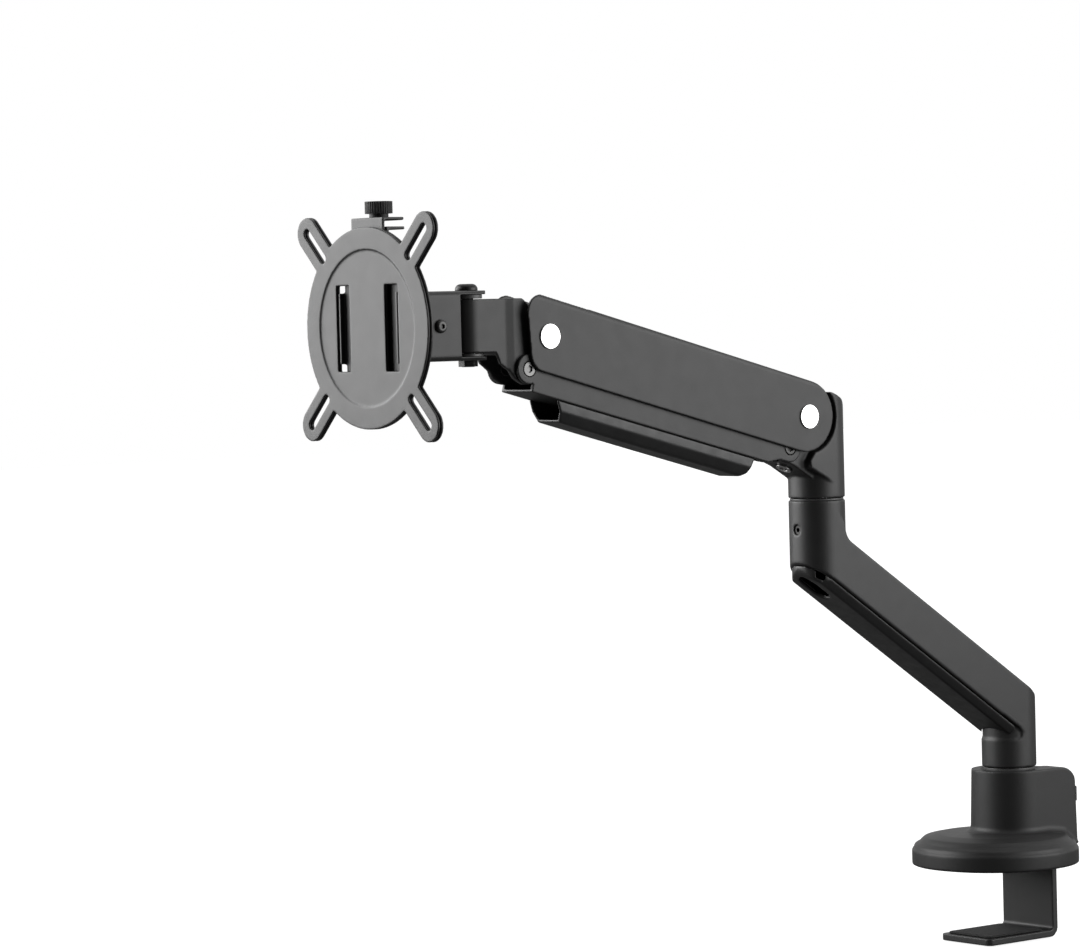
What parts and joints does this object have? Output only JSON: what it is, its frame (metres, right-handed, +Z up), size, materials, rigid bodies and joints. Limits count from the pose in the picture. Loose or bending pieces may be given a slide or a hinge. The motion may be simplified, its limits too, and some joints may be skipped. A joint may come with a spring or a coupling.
{
  "type": "monitor arm",
  "caption": "Desk-clamp monitor arm with a swivelling lower arm, a spring-balanced upper arm and a tilting, turning quick-release screen plate.",
  "frame": {"origin": "underside of the base pad on the base column axis (the desk surface)", "axes": "+X across the arm, +Y from the screen plate back towards the desk edge, +Z up"},
  "size_m": [0.1172, 0.4955, 0.4311],
  "materials": {
    "black_paint": "satin powder coat",
    "black_plastic": "matte",
    "rubber": "matte",
    "steel": "satin zinc",
    "dark_steel": "blackened",
    "bright": "polished",
    "washer": "satin"
  },
  "bodies": {
    "base": {"base_plate": "black_paint", "desk_pad": "rubber", "base_housing": "black_paint", "base_post": "steel", "bridge_plate": "steel", "tool_clip": "black_plastic", "base_washer": "washer"},
    "clamp": {"clamp_bracket": "black_paint", "clamp_nut": "steel", "jaw_pad": "rubber"},
    "clamp_screw": {"clamp_screw": "steel"},
    "lower_arm": {"lower_arm": "black_paint", "lower_bush": "washer", "upper_bush": "washer", "lower_cover": "black_plastic", "cover_screw": "steel", "friction_screw": "steel", "elbow_washer": "washer"},
    "elbow": {"elbow_bracket": "black_paint", "elbow_spindle": "steel", "rear_screw_right": "bright", "rear_screw_left": "bright", "spring_anchor": "steel"},
    "adjuster": {"spring_adjuster": "steel"},
    "upper_arm": {"upper_cover": "black_paint", "rear_pin": "steel", "front_pin": "steel", "rear_cap_right": "bright", "rear_cap_left": "bright", "front_cap_right": "bright", "front_cap_left": "bright", "spring_cylinder": "black_paint", "spring_pin": "steel"},
    "spring_rod": {"spring_rod": "bright"},
    "link": {"lower_link": "black_paint", "cable_cover": "black_plastic", "cable_cover_rivets": "black_plastic"},
    "knuckle": {"knuckle": "black_paint", "front_screw_right": "bright", "front_screw_left": "bright"},
    "pan_bracket": {"tilt_bracket": "black_paint", "pan_pin": "dark_steel", "pan_nut": "dark_steel", "pan_washer_top": "washer", "pan_washer_low": "washer", "tilt_screw_right": "dark_steel", "tilt_screw_left": "dark_steel"},
    "tilt_hub": {"tilt_hub": "black_paint"},
    "rotor": {"hub_spindle": "steel", "release_plate": "black_paint"},
    "screen_plate": {"screen_plate": "black_paint", "backing_plate": "black_paint"},
    "thumb_screw": {"thumb_shank": "steel", "thumb_head": "black_plastic"}
  },
  "joints": [
    {"name": "clamp_turn", "type": "hinge", "parent": "base", "child": "clamp_screw", "pos_m": [0, 0.022, 0.05], "axis": [0, 0, 1], "range_deg": [0, 8064]},
    {"name": "clamp_slide", "type": "slide", "parent": "base", "child": "clamp", "axis": [0, 0, 1], "range_m": [0, 0.028]},
    {"name": "base_swivel", "type": "hinge", "parent": "base", "child": "lower_arm", "pos_m": [0, 0, 0.06], "axis": [0, 0, 1], "range_deg": [-90, 90]},
    {"name": "elbow_swivel", "type": "hinge", "parent": "lower_arm", "child": "elbow", "pos_m": [0, -0.148, 0.22], "axis": [0, 0, 1], "range_deg": [-180, 180]},
    {"name": "adjuster_turn", "type": "hinge", "parent": "elbow", "child": "adjuster", "pos_m": [0, -0.1722, 0.2382], "axis": [0, -0.4924, -0.8704], "continuous": true},
    {"name": "arm_lift", "type": "hinge", "parent": "elbow", "child": "upper_arm", "pos_m": [0, -0.1666, 0.2664], "axis": [-1, 0, 0], "range_deg": [-35, 25]},
    {"name": "rod_slide", "type": "slide", "parent": "upper_arm", "child": "spring_rod", "axis": [0, -0.9288, 0.3706], "range_m": [-0.007, 0.0096]},
    {"name": "link_lift", "type": "hinge", "parent": "elbow", "child": "link", "pos_m": [0, -0.1789, 0.2495], "axis": [-1, 0, 0], "range_deg": [-35, 25]},
    {"name": "knuckle_level", "type": "hinge", "parent": "upper_arm", "child": "knuckle", "pos_m": [0, -0.35095, 0.31521], "axis": [-1, 0, 0], "range_deg": [-25, 35]},
    {"name": "head_pan", "type": "hinge", "parent": "knuckle", "child": "pan_bracket", "pos_m": [0, -0.394, 0.322], "axis": [0, 0, 1], "range_deg": [-85, 85]},
    {"name": "head_tilt", "type": "hinge", "parent": "pan_bracket", "child": "tilt_hub", "pos_m": [0, -0.4195, 0.322], "axis": [1, 0, 0], "range_deg": [-35, 35]},
    {"name": "plate_rotate", "type": "hinge", "parent": "tilt_hub", "child": "rotor", "pos_m": [0, -0.45, 0.322], "axis": [0, 1, 0], "range_deg": [-90, 90]},
    {"name": "plate_release", "type": "slide", "parent": "rotor", "child": "screen_plate", "axis": [0, 0, 1], "range_m": [0, 0.0035]},
    {"name": "thumb_turn", "type": "hinge", "parent": "screen_plate", "child": "thumb_screw", "pos_m": [0, -0.45, 0.38], "axis": [0, 0, 1], "continuous": true}
  ],
  "couplings": [
    {"joint": "clamp_turn", "follows": "clamp_slide", "rad_per_m": 5026.5},
    {"joint": "link_lift", "follows": "arm_lift", "ratio": 1},
    {"joint": "knuckle_level", "follows": "arm_lift", "ratio": -1},
    {"joint": "rod_slide", "follows": "arm_lift", "m_per_rad": -0.01555}
  ]
}
